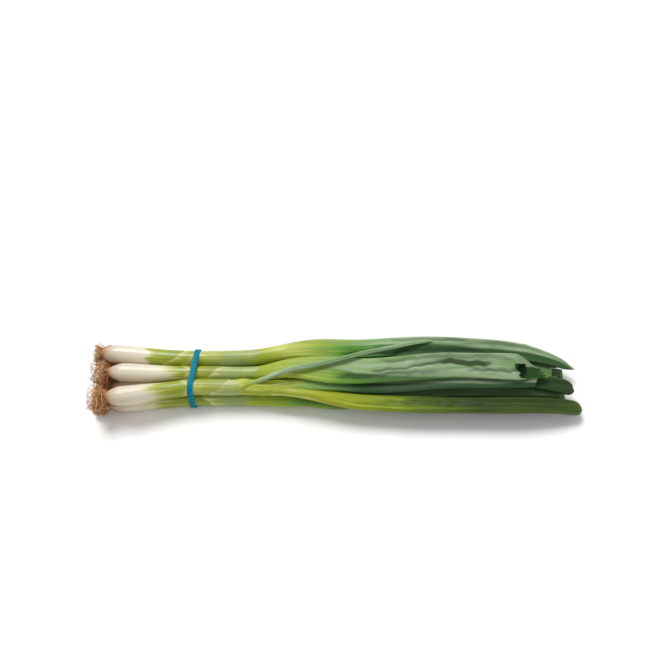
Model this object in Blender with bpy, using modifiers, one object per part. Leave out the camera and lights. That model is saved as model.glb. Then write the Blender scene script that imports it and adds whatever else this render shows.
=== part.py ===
"""A bunch of spring onions held by one rubber band, lying on a table.

The roots point to -X and the cut leaf ends to +X, with +Y the far side and +Z up.
Each onion is a white bulb and shank, a tuft of roots, and the leaves that leave the shank.
How the stalks lie is worked out by settle(): they are squeezed by the band, pulled down
by gravity, pushed apart where they meet, and kept smooth along their length.
"""

import math
import random
from collections import namedtuple

import bmesh
import bpy
import numpy as np

MM = 0.001

# Driving dimensions of the bunch, in metres
BUNCH_LENGTH = 400 * MM
BAND_AT = 85 * MM
BAND_WIDTH = 4.6 * MM
BAND_THICKNESS = 1.2 * MM
BAND_CLEARANCE = 0.35 * MM
BAND_SLANT = 0.04
GAP = 0.7 * MM

# Lengths along one onion, measured from the base of its bulb or from where a leaf parts
BULB_SWELL = 11 * MM
BULB_TAPER = 42 * MM
LEAF_FLATTENING = 65 * MM
TIP_TAPER = 75 * MM
CUT_TAPER = 30 * MM
SHANK_TO_LEAF_GAP = 0.3 * MM

# Root tufts
ROOT_RADIUS = 0.45 * MM
ROOTS_PER_ONION = 12
ROOT_PLATE_DEPTH = 3.0 * MM

# How finely the solids are drawn
STATION_STEP = 8 * MM
SHANK_SIDES = 12
LEAF_SIDES = 8
LEAF_STATIONS_PER_RING = 2
BAND_POINTS = 48

# A leaf parts from its shank at `split` and ends at `end`, both measured from the root end
# of the bunch. `path` is where it heads: pairs of that distance and a sideways place.
Leaf = namedtuple("Leaf", "split end width thickness path pointed slant")
# An onion lies in row 0, on the table, or in row 1, in the hollows above row 0.
Onion = namedtuple("Onion", "name row shank_radius bulb_radius base bulb_y band_y leaves")


def leaf(split, end, width, thickness, *path, pointed=False, slant=0.0):
    """A leaf with its sizes given in millimetres."""
    places = [(s * MM, y * MM) for s, y in path]
    return Leaf(split * MM, end * MM, width * MM, thickness * MM, places, pointed, slant)


def onion(name, row, shank, bulb, base, bulb_y, band_y, *leaves):
    """An onion with its sizes given in millimetres, shank and bulb as diameters."""
    sizes = (shank / 2 * MM, bulb / 2 * MM, base * MM, bulb_y * MM, band_y * MM)
    return Onion(name, row, *sizes, leaves)


ONIONS = [
    onion(
        "far_low", 0, 10.6, 13.2, 13, 26, 17,
        leaf(115, 366, 15, 2.8, (200, 30), (290, 32), (360, 24), slant=0.2),
        leaf(150, 388, 14, 2.8, (230, 26), (300, 27), (388, 14), slant=-0.1),
        leaf(150, 378, 13, 2.6, (230, 20), (300, 20), (378, 14)),
    ),
    onion(
        "mid_far_low", 0, 11.2, 13.6, 18, 8.5, 5.7,
        leaf(125, 392, 16, 2.8, (220, 12), (380, 9), slant=0.1),
        leaf(125, 374, 15, 2.6, (220, 6), (370, 5)),
    ),
    onion(
        "mid_near_low", 0, 10.4, 12.8, 15, -6.5, -5.7,
        leaf(120, 386, 16, 2.8, (220, -2), (380, -4), slant=-0.2),
        leaf(120, 370, 14, 2.6, (230, -8), (370, -10)),
    ),
    onion(
        "near_low", 0, 11.0, 13.8, 17, -22, -17.5,
        leaf(130, 376, 16, 2.8, (210, -19), (370, -20), slant=0.15),
        leaf(160, 390, 14, 2.8, (240, -15), (360, -16)),
        leaf(160, 362, 13, 2.6, (240, -13), (360, -12)),
    ),
    onion(
        "far_top", 1, 13.4, 15.2, 7, 18, 13,
        leaf(
            135, 400, 19, 4.0,
            (190, 20), (240, 26.5), (295, 28.5), (336, 24.5), (373, 18), (400, 7.5),
            pointed=True,
        ),
        leaf(160, 360, 16, 3.2, (230, 24), (300, 25), (360, 19), slant=-0.15),
        leaf(160, 378, 15, 3.0, (240, 18), (300, 18), (378, 14), slant=0.2),
    ),
    onion(
        "near_top", 1, 13.0, 15.8, 19, -24, -13,
        leaf(
            122, 284, 7, 3.0,
            (141, -9), (172, -6), (197, 1), (214, 8), (238, 19), (262, 27), (284, 31),
            pointed=True,
        ),
        leaf(145, 362, 18, 3.4, (210, -10), (353, -10), slant=0.25),
        leaf(160, 399, 14, 8.4, (180, -19), (254, -28.5), (330, -29.5), (400, -27)),
        leaf(160, 384, 15, 3.0, (240, -12), (380, -12)),
    ),
    onion(
        "middle_top", 1, 12.2, 14.8, 16, 0, 0,
        leaf(132, 370, 25, 3.6, (176, -4), (213, -3), (295, 1), (368, -3), slant=-0.1),
        leaf(160, 394, 15, 6.5, (260, 0), (330, -5), (394, -12)),
        leaf(160, 380, 15, 3.0, (250, 8), (380, 6), slant=0.15),
    ),
]

COLOURS = {
    "shank": ((0.83, 0.82, 0.66), 0.38),
    "leaf": ((0.10, 0.25, 0.07), 0.45),
    "roots": ((0.52, 0.36, 0.20), 0.85),
    "band": ((0.01, 0.25, 0.42), 0.55),
}

STATIONS = np.arange(0.0, BUNCH_LENGTH + STATION_STEP / 2, STATION_STEP)


def ease(t):
    """0 before t = 0, 1 after t = 1, and a smooth rise between."""
    t = np.clip(t, 0.0, 1.0)
    return t * t * (3.0 - 2.0 * t)


def shank_radius(plant, s):
    """Radius of an onion's bulb and shank at the distance s from the root end."""
    up = np.clip((s - plant.base) / BULB_SWELL, 0.0, 1.0)
    bulb = plant.bulb_radius * (0.5 + 0.5 * np.sin(up * math.pi / 2))
    down = ease((s - plant.base - BULB_SWELL) / BULB_TAPER)
    return bulb + (plant.shank_radius - bulb) * down


def leaf_half_sizes(plant, rank, s):
    """Half the width and half the thickness of a leaf at the distance s from the root end.

    Inside the shank each leaf is a tube round the next one. Past its split it flattens.
    """
    blade = plant.leaves[rank]
    tube = shank_radius(plant, s) * (1.0 - 0.07 * rank)
    flat = ease((s - blade.split) / LEAF_FLATTENING)
    wide = tube + (blade.width / 2 - tube) * flat
    thick = tube + (blade.thickness / 2 - tube) * flat
    taper = TIP_TAPER if blade.pointed else CUT_TAPER
    left = np.clip((blade.end - s) / taper, 0.0, 1.0)
    narrowed = 0.12 if blade.pointed else 0.85
    shrink = narrowed + (1.0 - narrowed) * np.sqrt(1.0 - (1.0 - left) ** 2)
    return wide * shrink, thick * (0.5 + 0.5 * shrink)


class Strands:
    """Every leaf of the bunch with the shank it grows from, as rows of arrays over STATIONS."""

    def __init__(self):
        self.keys = [
            (k, rank) for k, plant in enumerate(ONIONS) for rank in range(len(plant.leaves))
        ]
        self.plant = np.array([k for k, _ in self.keys])
        s = STATIONS
        rows = []
        for k, rank in self.keys:
            plant = ONIONS[k]
            blade = plant.leaves[rank]
            wide, thick = leaf_half_sizes(plant, rank, s)
            # A root tuft needs the room of its bulb all the way to the root end.
            rooted = s < plant.base + BULB_SWELL
            wide = np.where(rooted, plant.bulb_radius, wide)
            thick = np.where(rooted, plant.bulb_radius, thick)
            y = np.interp(
                s,
                [plant.base + BULB_SWELL, BAND_AT] + [p[0] for p in blade.path],
                [plant.bulb_y, plant.band_y] + [p[1] for p in blade.path],
            )
            low = (6.0 + 13.0 * plant.row) * MM
            order = (len(plant.leaves) - 1) / 2 - rank
            above = (order * (3.8 + plant.row) + 0.4 * k) * MM
            z = low + above * ease((s - blade.split) / LEAF_FLATTENING)
            rows.append((wide, thick, y, z, s <= blade.split, s <= blade.end + STATION_STEP))
        wide, thick, y, z, joined, there = (np.array(column) for column in zip(*rows))
        self.half_width = wide
        self.half_thickness = np.minimum(thick, wide)
        self.place = np.stack([y, z], axis=-1)
        self.target_y = y.copy()
        self.roll = np.zeros_like(y)
        self.joined = joined
        self.there = there


def turned(a, b):
    """How far flat arrow b is turned from flat arrow a, times both their lengths."""
    return a[..., 0] * b[..., 1] - a[..., 1] * b[..., 0]


def contact_pushes(centre, along, half, first, second, need, order):
    """Pushes between pairs of flat rounded sections, from the ends of each core line.

    Returns, for `first` and then for `second`, the move, the turn and whether they touch.
    """
    moves = [np.zeros_like(centre[first]), np.zeros_like(centre[second])]
    turns = [np.zeros(need.shape), np.zeros(need.shape)]
    touching = np.zeros(need.shape)
    for owner, other, a, b in ((0, 1, first, second), (1, 0, second, first)):
        for end in (-1.0, 1.0):
            lever = along[a] * (half[a] * end)[..., None]
            tip = centre[a] + lever
            reach = np.sum((tip - centre[b]) * along[b], axis=-1)
            reach = along[b] * np.clip(reach, -half[b], half[b])[..., None]
            away = tip - centre[b] - reach
            distance = np.sqrt(np.sum(away**2, axis=-1)) + 1e-9
            push = np.clip(need - distance, 0.0, 2 * MM) / distance
            step = away * (0.5 * push)[..., None]
            touching += push > 0
            moves[owner] += step
            moves[other] -= step
            turns[owner] += turned(lever, step)
            turns[other] -= turned(reach, step)
    # Core lines that cross are moved apart up and down, in the order they began in.
    across = turned(along[first], along[second])
    parallel = np.abs(across) < 1e-6
    across = np.where(parallel, 1.0, across)
    between = centre[second] - centre[first]
    on_first = np.abs(turned(between, along[second]) / across) < half[first]
    on_second = np.abs(turned(between, along[first]) / across) < half[second]
    crossed = on_first & on_second & ~parallel & (need > 0)
    lift = np.zeros_like(between)
    lift[..., 1] = 0.25 * MM * order
    share = 1.0 / np.maximum(touching, 1)
    moves = [
        np.where(crossed[..., None], lift * sign, move * share[..., None])
        for move, sign in zip(moves, (1, -1))
    ]
    turns = [np.where(crossed, 0.0, turn * share) for turn in turns]
    return moves, turns, touching > 0


def share_joined(strands, values):
    """Leaves that haven't left their shank yet lie in one place: give them their mean."""
    for k in range(len(ONIONS)):
        rows = np.flatnonzero(strands.plant == k)
        joined = strands.joined[rows]
        count = joined.sum(axis=0)
        weight = joined if values.ndim == 2 else joined[..., None]
        total = (values[rows] * weight).sum(axis=0)
        count = count if values.ndim == 2 else count[..., None]
        mean = total / np.maximum(count, 1)
        values[rows] = np.where(weight, mean[None], values[rows])


def stiffen(values, amount):
    """Smooths along the length as a springy rod would, with both ends free."""
    before = values[:, :1] * 2 - values[:, 1:2]
    before2 = values[:, :1] * 3 - values[:, 1:2] * 2
    after = values[:, -1:] * 2 - values[:, -2:-1]
    after2 = values[:, -1:] * 3 - values[:, -2:-1] * 2
    long = np.concatenate([before2, before, values, after, after2], axis=1)
    bend = long[:, :-4] - 4 * long[:, 1:-3] + 6 * long[:, 2:-2] - 4 * long[:, 3:-1] + long[:, 4:]
    values -= amount * bend


def settle():
    """Lets the strands fall, meet and come to rest, and returns them."""
    strands = Strands()
    first, second = np.triu_indices(len(strands.keys), 1)
    same = (strands.plant[first] == strands.plant[second])[:, None]
    radius = strands.half_thickness
    half = strands.half_width - radius
    # Two leaves of one onion take the length of the flattening to come apart.
    splits = np.array([ONIONS[k].leaves[rank].split for k, rank in strands.keys])
    parting = np.minimum(splits[first], splits[second])
    apart = ease((STATIONS[None] - parting[:, None]) / LEAF_FLATTENING)
    need = (radius[first] + radius[second] + GAP) * np.where(same, apart, 1.0)
    need = np.where(strands.there[first] & strands.there[second], need, 0.0)
    order = np.sign(strands.place[first][..., 1] - strands.place[second][..., 1])
    floor = (BAND_THICKNESS + BAND_CLEARANCE) * np.exp(-(((STATIONS - BAND_AT) / (9 * MM)) ** 2))
    hold = 0.01 + 0.2 * ease((BAND_AT + 25 * MM - STATIONS) / (30 * MM))
    for steps, fall in ((150, 0.0), (500, 0.05 * MM), (400, 0.015 * MM), (350, 0.002 * MM)):
        for _ in range(steps):
            strands.place[..., 1] -= fall
            strands.place[..., 0] += hold * (strands.target_y - strands.place[..., 0])
            along = np.stack([np.cos(strands.roll), np.sin(strands.roll)], axis=-1)
            moves, turns, touch = contact_pushes(
                strands.place, along, half, first, second, need, order
            )
            move = np.zeros_like(strands.place)
            turn = np.zeros_like(strands.roll)
            meets = np.zeros_like(strands.roll)
            for side, index in enumerate((first, second)):
                np.add.at(move, index, moves[side])
                np.add.at(turn, index, turns[side])
                np.add.at(meets, index, touch)
            share = 1.6 / np.maximum(meets, 1)
            strands.place += move * share[..., None]
            strands.roll += turn * share / (half**2 + (3 * MM) ** 2)
            strands.roll *= 0.97
            stiffen(strands.place, 1 / 24)
            stiffen(strands.roll, 1 / 24)
            share_joined(strands, strands.place)
            share_joined(strands, strands.roll)
            low = half * np.abs(np.sin(strands.roll)) + radius + floor
            strands.place[..., 1] = np.maximum(strands.place[..., 1], low)
    return strands


def along_strand(strands, row, s):
    """Where a strand's centre is, as y and z, and its roll, at the distance s."""
    y = np.interp(s, STATIONS, strands.place[row, :, 0])
    z = np.interp(s, STATIONS, strands.place[row, :, 1])
    return y, z, np.interp(s, STATIONS, strands.roll[row])


def ring(centre, s, half_width, half_thickness, roll, sides, slant=0.0):
    """Points round one cross-section, which stands across the length of the bunch."""
    points = []
    for side in range(sides):
        turn = 2 * math.pi * (side + 0.5) / sides
        across = half_width * math.cos(turn)
        up = half_thickness * math.sin(turn)
        y = centre[0] + across * math.cos(roll) - up * math.sin(roll)
        z = centre[1] + across * math.sin(roll) + up * math.cos(roll)
        points.append((s + slant * across, y, z))
    return points


def loft(name, rings):
    """A closed solid through rings that have the same number of points each."""
    solid = bmesh.new()
    loops = [[solid.verts.new(point) for point in points] for points in rings]
    sides = len(loops[0])
    for lower, upper in zip(loops, loops[1:]):
        for side in range(sides):
            after = (side + 1) % sides
            solid.faces.new((lower[side], lower[after], upper[after], upper[side]))
    solid.faces.new(loops[0])
    solid.faces.new(loops[-1])
    bmesh.ops.recalc_face_normals(solid, faces=solid.faces)
    mesh = bpy.data.meshes.new(name)
    solid.to_mesh(mesh)
    solid.free()
    return bpy.data.objects.new(name, mesh)


def material(colour_name):
    found = bpy.data.materials.get(colour_name)
    if found:
        return found
    colour, roughness = COLOURS[colour_name]
    made = bpy.data.materials.new(colour_name)
    made.use_nodes = True
    shader = made.node_tree.nodes["Principled BSDF"]
    shader.inputs["Base Color"].default_value = (*colour, 1.0)
    shader.inputs["Roughness"].default_value = roughness
    return made


def place(thing, colour_name):
    """Puts a finished solid in the scene, in its colour."""
    thing.data.materials.clear()
    thing.data.materials.append(material(colour_name))
    bunch = bpy.data.collections.get("spring_onion_bunch")
    if bunch is None:
        bunch = bpy.data.collections.new("spring_onion_bunch")
        bpy.context.scene.collection.children.link(bunch)
    bunch.objects.link(thing)
    return thing


def fuse(name, solids):
    """One solid out of several that overlap."""
    if len(solids) == 1:
        solids[0].name = solids[0].data.name = name
        return solids[0]
    base, others = solids[0], solids[1:]
    group = bpy.data.collections.new(name + "_pieces")
    bpy.context.scene.collection.children.link(group)
    bpy.context.scene.collection.objects.link(base)
    for solid in others:
        group.objects.link(solid)
    union = base.modifiers.new("union", "BOOLEAN")
    union.operation = "UNION"
    union.solver = "EXACT"
    union.operand_type = "COLLECTION"
    union.collection = group
    whole = base.evaluated_get(bpy.context.evaluated_depsgraph_get())
    mesh = bpy.data.meshes.new_from_object(whole)
    mesh.name = name
    tidy = bmesh.new()
    tidy.from_mesh(mesh)
    bmesh.ops.remove_doubles(tidy, verts=tidy.verts, dist=0.002 * MM)
    bmesh.ops.dissolve_degenerate(tidy, edges=tidy.edges, dist=0.002 * MM)
    tidy.to_mesh(mesh)
    tidy.free()
    for solid in solids:
        bpy.data.objects.remove(solid)
    bpy.data.collections.remove(group)
    return bpy.data.objects.new(name, mesh)


def first_split(plant):
    return min(blade.split for blade in plant.leaves)


def build_shank(strands, number):
    """The white bulb and shank, up to where the first leaf leaves it."""
    plant = ONIONS[number]
    row = strands.keys.index((number, 0))
    end = first_split(plant) - SHANK_TO_LEAF_GAP
    steps = [plant.base + up * MM for up in (0.0, 1.5, 4.0, 8.0, 13.0, 20.0, 30.0)]
    more = math.ceil((end - steps[-1]) / (14 * MM))
    steps += list(np.linspace(steps[-1], end, more + 1)[1:])
    rings = []
    for s in steps:
        y, z, _ = along_strand(strands, row, s)
        radius = float(shank_radius(plant, s))
        rings.append(ring((y, z), s, radius, radius, 0.0, SHANK_SIDES))
    return place(loft("shank_" + plant.name, rings), "shank")


def build_leaves(strands, number):
    """The leaves of one onion, fused where they leave the shank together."""
    plant = ONIONS[number]
    start = first_split(plant)
    blades = []
    for rank, blade in enumerate(plant.leaves):
        row = strands.keys.index((number, rank))
        # The inner leaves begin a little further in, so that no two ends lie in one plane.
        begin = start + 2 * MM * rank
        between = STATIONS[::LEAF_STATIONS_PER_RING]
        between = between[(between > begin + 4 * MM) & (between < blade.end - 5 * MM)]
        steps = [begin, *between, blade.end]
        rings = []
        for s in steps:
            y, z, roll = along_strand(strands, row, s)
            wide, thick = (float(size) for size in leaf_half_sizes(plant, rank, s))
            slant = blade.slant if s == blade.end else 0.0
            rings.append(ring((y, z), s, wide, min(thick, wide), roll, LEAF_SIDES, slant))
        blades.append(loft(f"leaf_{plant.name}_{rank}", rings))
    return place(fuse("leaves_" + plant.name, blades), "leaf")


def root_fibre(name, points):
    """One root, as a thin four-sided rod through its points."""
    curve = bpy.data.curves.new(name, "CURVE")
    curve.dimensions = "3D"
    curve.bevel_depth = ROOT_RADIUS
    curve.bevel_resolution = 0
    curve.use_fill_caps = True
    line = curve.splines.new("POLY")
    line.points.add(len(points) - 1)
    for point, where in zip(line.points, points):
        point.co = (*where, 1.0)
    holder = bpy.data.objects.new(name, curve)
    mesh = bpy.data.meshes.new_from_object(holder)
    bpy.data.objects.remove(holder)
    solid = bmesh.new()
    solid.from_mesh(mesh)
    bmesh.ops.remove_doubles(solid, verts=solid.verts, dist=0.001 * MM)
    bmesh.ops.recalc_face_normals(solid, faces=solid.faces)
    solid.to_mesh(mesh)
    solid.free()
    return bpy.data.objects.new(name, mesh)


def build_roots(strands, number):
    """The flat root plate under the bulb, with the tuft of roots that grows from it."""
    plant = ONIONS[number]
    row = strands.keys.index((number, 0))
    chance = random.Random(number + 3)
    face = plant.base - 0.3 * MM
    y, z, _ = along_strand(strands, row, face)
    rings = []
    for back, share in ((0.0, 0.46), (1.0, 0.5), (2.2, 0.42), (3.0, 0.26)):
        radius = plant.bulb_radius * share
        rings.append(ring((y, z), face - back * MM, radius, radius, 0.0, 10))
    solids = [loft("plate", rings)]
    for number_of_root in range(ROOTS_PER_ONION):
        around = 2.399963 * number_of_root + chance.uniform(-0.2, 0.2)
        out = math.sqrt((number_of_root + 0.5) / ROOTS_PER_ONION)
        reach = chance.uniform(0.55, 1.0) * min(face, 18 * MM)
        if number_of_root == 0:
            reach = face
        reach = max(reach, min(7 * MM, face))
        bend = chance.uniform(-0.5, 0.5)
        points = []
        for step in range(6):
            t = step / 5
            spread = out * (0.36 + 0.52 * t**0.7) * plant.bulb_radius
            turn = around + bend * t + 0.25 * math.sin(4 * t + number_of_root)
            py = y + spread * math.cos(turn)
            pz = z + spread * math.sin(turn)
            points.append((face - 1.2 * MM - (reach - 1.2 * MM) * t, py, max(pz, 0.6 * MM)))
        solids.append(root_fibre(f"root_{number_of_root}", points))
    return place(fuse("roots_" + plant.name, solids), "roots")


def convex_hull(points):
    """Corners of the convex outline round flat points, counterclockwise."""
    points = sorted(set(points))

    def half_outline(ordered):
        outline = []
        for point in ordered:
            while len(outline) > 1:
                (ax, ay), (bx, by) = outline[-2:]
                if (bx - ax) * (point[1] - ay) - (by - ay) * (point[0] - ax) > 1e-12:
                    break
                outline.pop()
            outline.append(point)
        return outline[:-1]

    return half_outline(points) + half_outline(points[::-1])


def build_band(strands):
    """The rubber band, stretched round the shanks, with a flat underside to rest on."""
    points = []
    for number, plant in enumerate(ONIONS):
        row = strands.keys.index((number, 0))
        for s in np.linspace(BAND_AT - 4.5 * MM, BAND_AT + 4.5 * MM, 5):
            y, z, _ = along_strand(strands, row, s)
            reach = float(shank_radius(plant, s)) + BAND_CLEARANCE
            for side in range(28):
                turn = 2 * math.pi * side / 28
                low = z + reach * math.sin(turn)
                points.append((round(y + reach * math.cos(turn), 5), round(low, 5)))
    bottom = BAND_THICKNESS
    points = [(y, max(z, bottom)) for y, z in points]
    rows = [strands.keys.index((number, 0)) for number in (0, 3)]
    for row in rows:
        points.append((round(along_strand(strands, row, BAND_AT)[0], 5), bottom))
    outline = convex_hull(points)
    # Close corners add faces without adding shape.
    kept = []
    for point in outline:
        if not kept or math.dist(point, kept[-1]) > 0.8 * MM:
            kept.append(point)
    strip = bmesh.new()
    loops = []
    for edge in (-BAND_WIDTH / 2, BAND_WIDTH / 2):
        loops.append([strip.verts.new((BAND_AT + edge + BAND_SLANT * y, y, z)) for y, z in kept])
    count = len(kept)
    for corner in range(count):
        after = (corner + 1) % count
        strip.faces.new((loops[0][corner], loops[1][corner], loops[1][after], loops[0][after]))
    bmesh.ops.recalc_face_normals(strip, faces=strip.faces)
    mesh = bpy.data.meshes.new("band")
    strip.to_mesh(mesh)
    strip.free()
    band = place(bpy.data.objects.new("band", mesh), "band")
    wall = band.modifiers.new("rubber", "SOLIDIFY")
    wall.thickness = BAND_THICKNESS
    wall.offset = 1.0
    wall.use_even_offset = True
    return band


def centre_on_floor(things):
    """Moves everything so that the origin is under the middle of the bunch."""
    graph = bpy.context.evaluated_depsgraph_get()
    corners = []
    for thing in things:
        mesh = thing.evaluated_get(graph).to_mesh()
        coords = np.empty(len(mesh.vertices) * 3)
        mesh.vertices.foreach_get("co", coords)
        corners.append(coords.reshape(-1, 3))
    corners = np.concatenate(corners)
    low, high = corners.min(axis=0), corners.max(axis=0)
    shift = -(low + high) / 2
    shift[2] = -low[2]
    for thing in things:
        for vertex in thing.data.vertices:
            vertex.co = [vertex.co[axis] + shift[axis] for axis in range(3)]


def main():
    for thing in list(bpy.data.objects):
        bpy.data.objects.remove(thing)
    strands = settle()
    things = [build_band(strands)]
    for number in range(len(ONIONS)):
        things.append(build_shank(strands, number))
        things.append(build_leaves(strands, number))
        things.append(build_roots(strands, number))
    centre_on_floor(things)


main()
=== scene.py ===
"""A bunch of seven spring onions tied with one blue rubber band, on a pale studio floor.

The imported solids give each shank, spray of leaves, root tuft and the band its place. This
file lays the same stalks out again, by the same rules, and grows the visible skins on them:
wrapped sheaths on the bulbs, hollow leaves with veins and a waxy bloom, matted roots and a
stretched rubber band.
"""

import math
from collections import namedtuple
from functools import partial

import bpy
import numpy as np
from bpy.props import FloatProperty, FloatVectorProperty, IntProperty, PointerProperty
from bpy.types import Operator, Panel, PropertyGroup
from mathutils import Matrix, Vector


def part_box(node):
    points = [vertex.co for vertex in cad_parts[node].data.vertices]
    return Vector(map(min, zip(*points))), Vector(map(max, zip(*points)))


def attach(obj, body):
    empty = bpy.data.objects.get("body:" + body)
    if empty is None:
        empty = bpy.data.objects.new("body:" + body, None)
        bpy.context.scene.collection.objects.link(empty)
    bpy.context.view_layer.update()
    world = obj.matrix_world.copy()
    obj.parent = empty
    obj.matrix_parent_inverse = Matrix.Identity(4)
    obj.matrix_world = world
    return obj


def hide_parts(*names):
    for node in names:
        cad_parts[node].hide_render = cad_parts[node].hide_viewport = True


bl_info = {
    "name": "Spring onion bunch",
    "version": (1, 0, 0),
    "blender": (4, 5, 0),
    "location": "3D View > Sidebar > Spring onions",
    "description": "Builds a bunch of spring onions tied with a rubber band, with its studio",
    "category": "Object",
}

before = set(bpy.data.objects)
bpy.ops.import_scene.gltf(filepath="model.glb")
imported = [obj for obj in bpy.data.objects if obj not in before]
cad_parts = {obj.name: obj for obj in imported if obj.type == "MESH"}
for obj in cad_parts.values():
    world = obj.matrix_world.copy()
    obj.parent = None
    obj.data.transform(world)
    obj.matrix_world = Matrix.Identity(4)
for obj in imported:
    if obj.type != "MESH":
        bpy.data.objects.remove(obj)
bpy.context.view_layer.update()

MM = 0.001

# The layout of the bunch, with the same sizes and rules as its solids.
BUNCH_LENGTH = 400 * MM
BAND_AT = 85 * MM
BAND_WIDTH = 4.6 * MM
BAND_THICKNESS = 1.2 * MM
BAND_CLEARANCE = 0.35 * MM
BAND_SLANT = 0.04
GAP = 0.7 * MM
BULB_SWELL = 11 * MM
BULB_TAPER = 42 * MM
LEAF_FLATTENING = 65 * MM
TIP_TAPER = 75 * MM
CUT_TAPER = 30 * MM
STATION_STEP = 8 * MM

# How the roots grow and the band is drawn, and where each one's random draws begin. A golden
# angle spreads the roots evenly.
ROOT_STEP = 1.1 * MM
ROOT_STEPS = 27
TUFT_LENGTH = 13 * MM
GOLDEN_ANGLE = 2.399963
BAND_POINTS = 360
SHANK_SEED, LEAF_SEED, ROOT_SEED, ROOT_LOOKS_SEED = 300, 900, 500, 700

# The camera, with its picture's width and its lens's length in pixels, and the floor's edge.
CAMERA_PLACE = (0.0, -0.2708, 0.4709)
CAMERA_TILT = 35
PICTURE_WIDTH = 670
LENS_LENGTH = 640
FLOOR_EDGE = 4.0

# A leaf parts from its shank at `split` and ends at `end`, both measured from the root end
# of the bunch. `tone` is how dark a green it ends in, which it reaches over `green_by`.
# `bloom` is how much wax lies on it and `yellow` how yellow it is. The near side of `ridge`
# is painted in shade, darker and without wax; `ridge` is a line given by its place across the
# leaf, from -1, near, to 1, far, where it begins and where the leaf ends. A `blunt` end is drawn
# in as it dries.
# `slim` is how much sooner than the rest it narrows. `open_cut` is how much shorter its upper
# wall is than its lower one, which bares its hollow. `creases` are folds along its top, with
# painted shade in them.
Leaf = namedtuple(
    "Leaf",
    "split end width thickness path pointed slant tone green_by bloom yellow ridge blunt slim"
    " open_cut creases",
)
# An onion lies in row 0, on the table, or in row 1, in the hollows above row 0. `white` is
# where its white turns green, over the length `fade`, `stain` is how brown its base is, and
# `lips` are where its outer skins end, with their slants.
Onion = namedtuple(
    "Onion",
    "name row shank_radius bulb_radius base bulb_y band_y white fade stain lips leaves",
)


def leaf(
    split, end, width, thickness, *path, pointed=False, slant=0.0, tone=0.85, green_by=105,
    bloom=0.4, yellow=0.0, ridge=None, blunt=False, slim=1.0, open_cut=0.0, creases=(),
):
    """A leaf with its sizes given in millimetres."""
    places = [(s * MM, y * MM) for s, y in path]
    sizes = (split * MM, end * MM, width * MM, thickness * MM)
    looks = (tone, green_by * MM, bloom, yellow, ridge, blunt, slim, open_cut * MM, creases)
    return Leaf(*sizes, places, pointed, slant, *looks)


def onion(name, row, shank, bulb, base, bulb_y, band_y, white, fade, stain, lips, *leaves):
    """An onion with its sizes given in millimetres, shank and bulb as diameters."""
    sizes = (shank / 2 * MM, bulb / 2 * MM, base * MM, bulb_y * MM, band_y * MM)
    return Onion(name, row, *sizes, white * MM, fade * MM, stain, lips, leaves)


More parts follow.
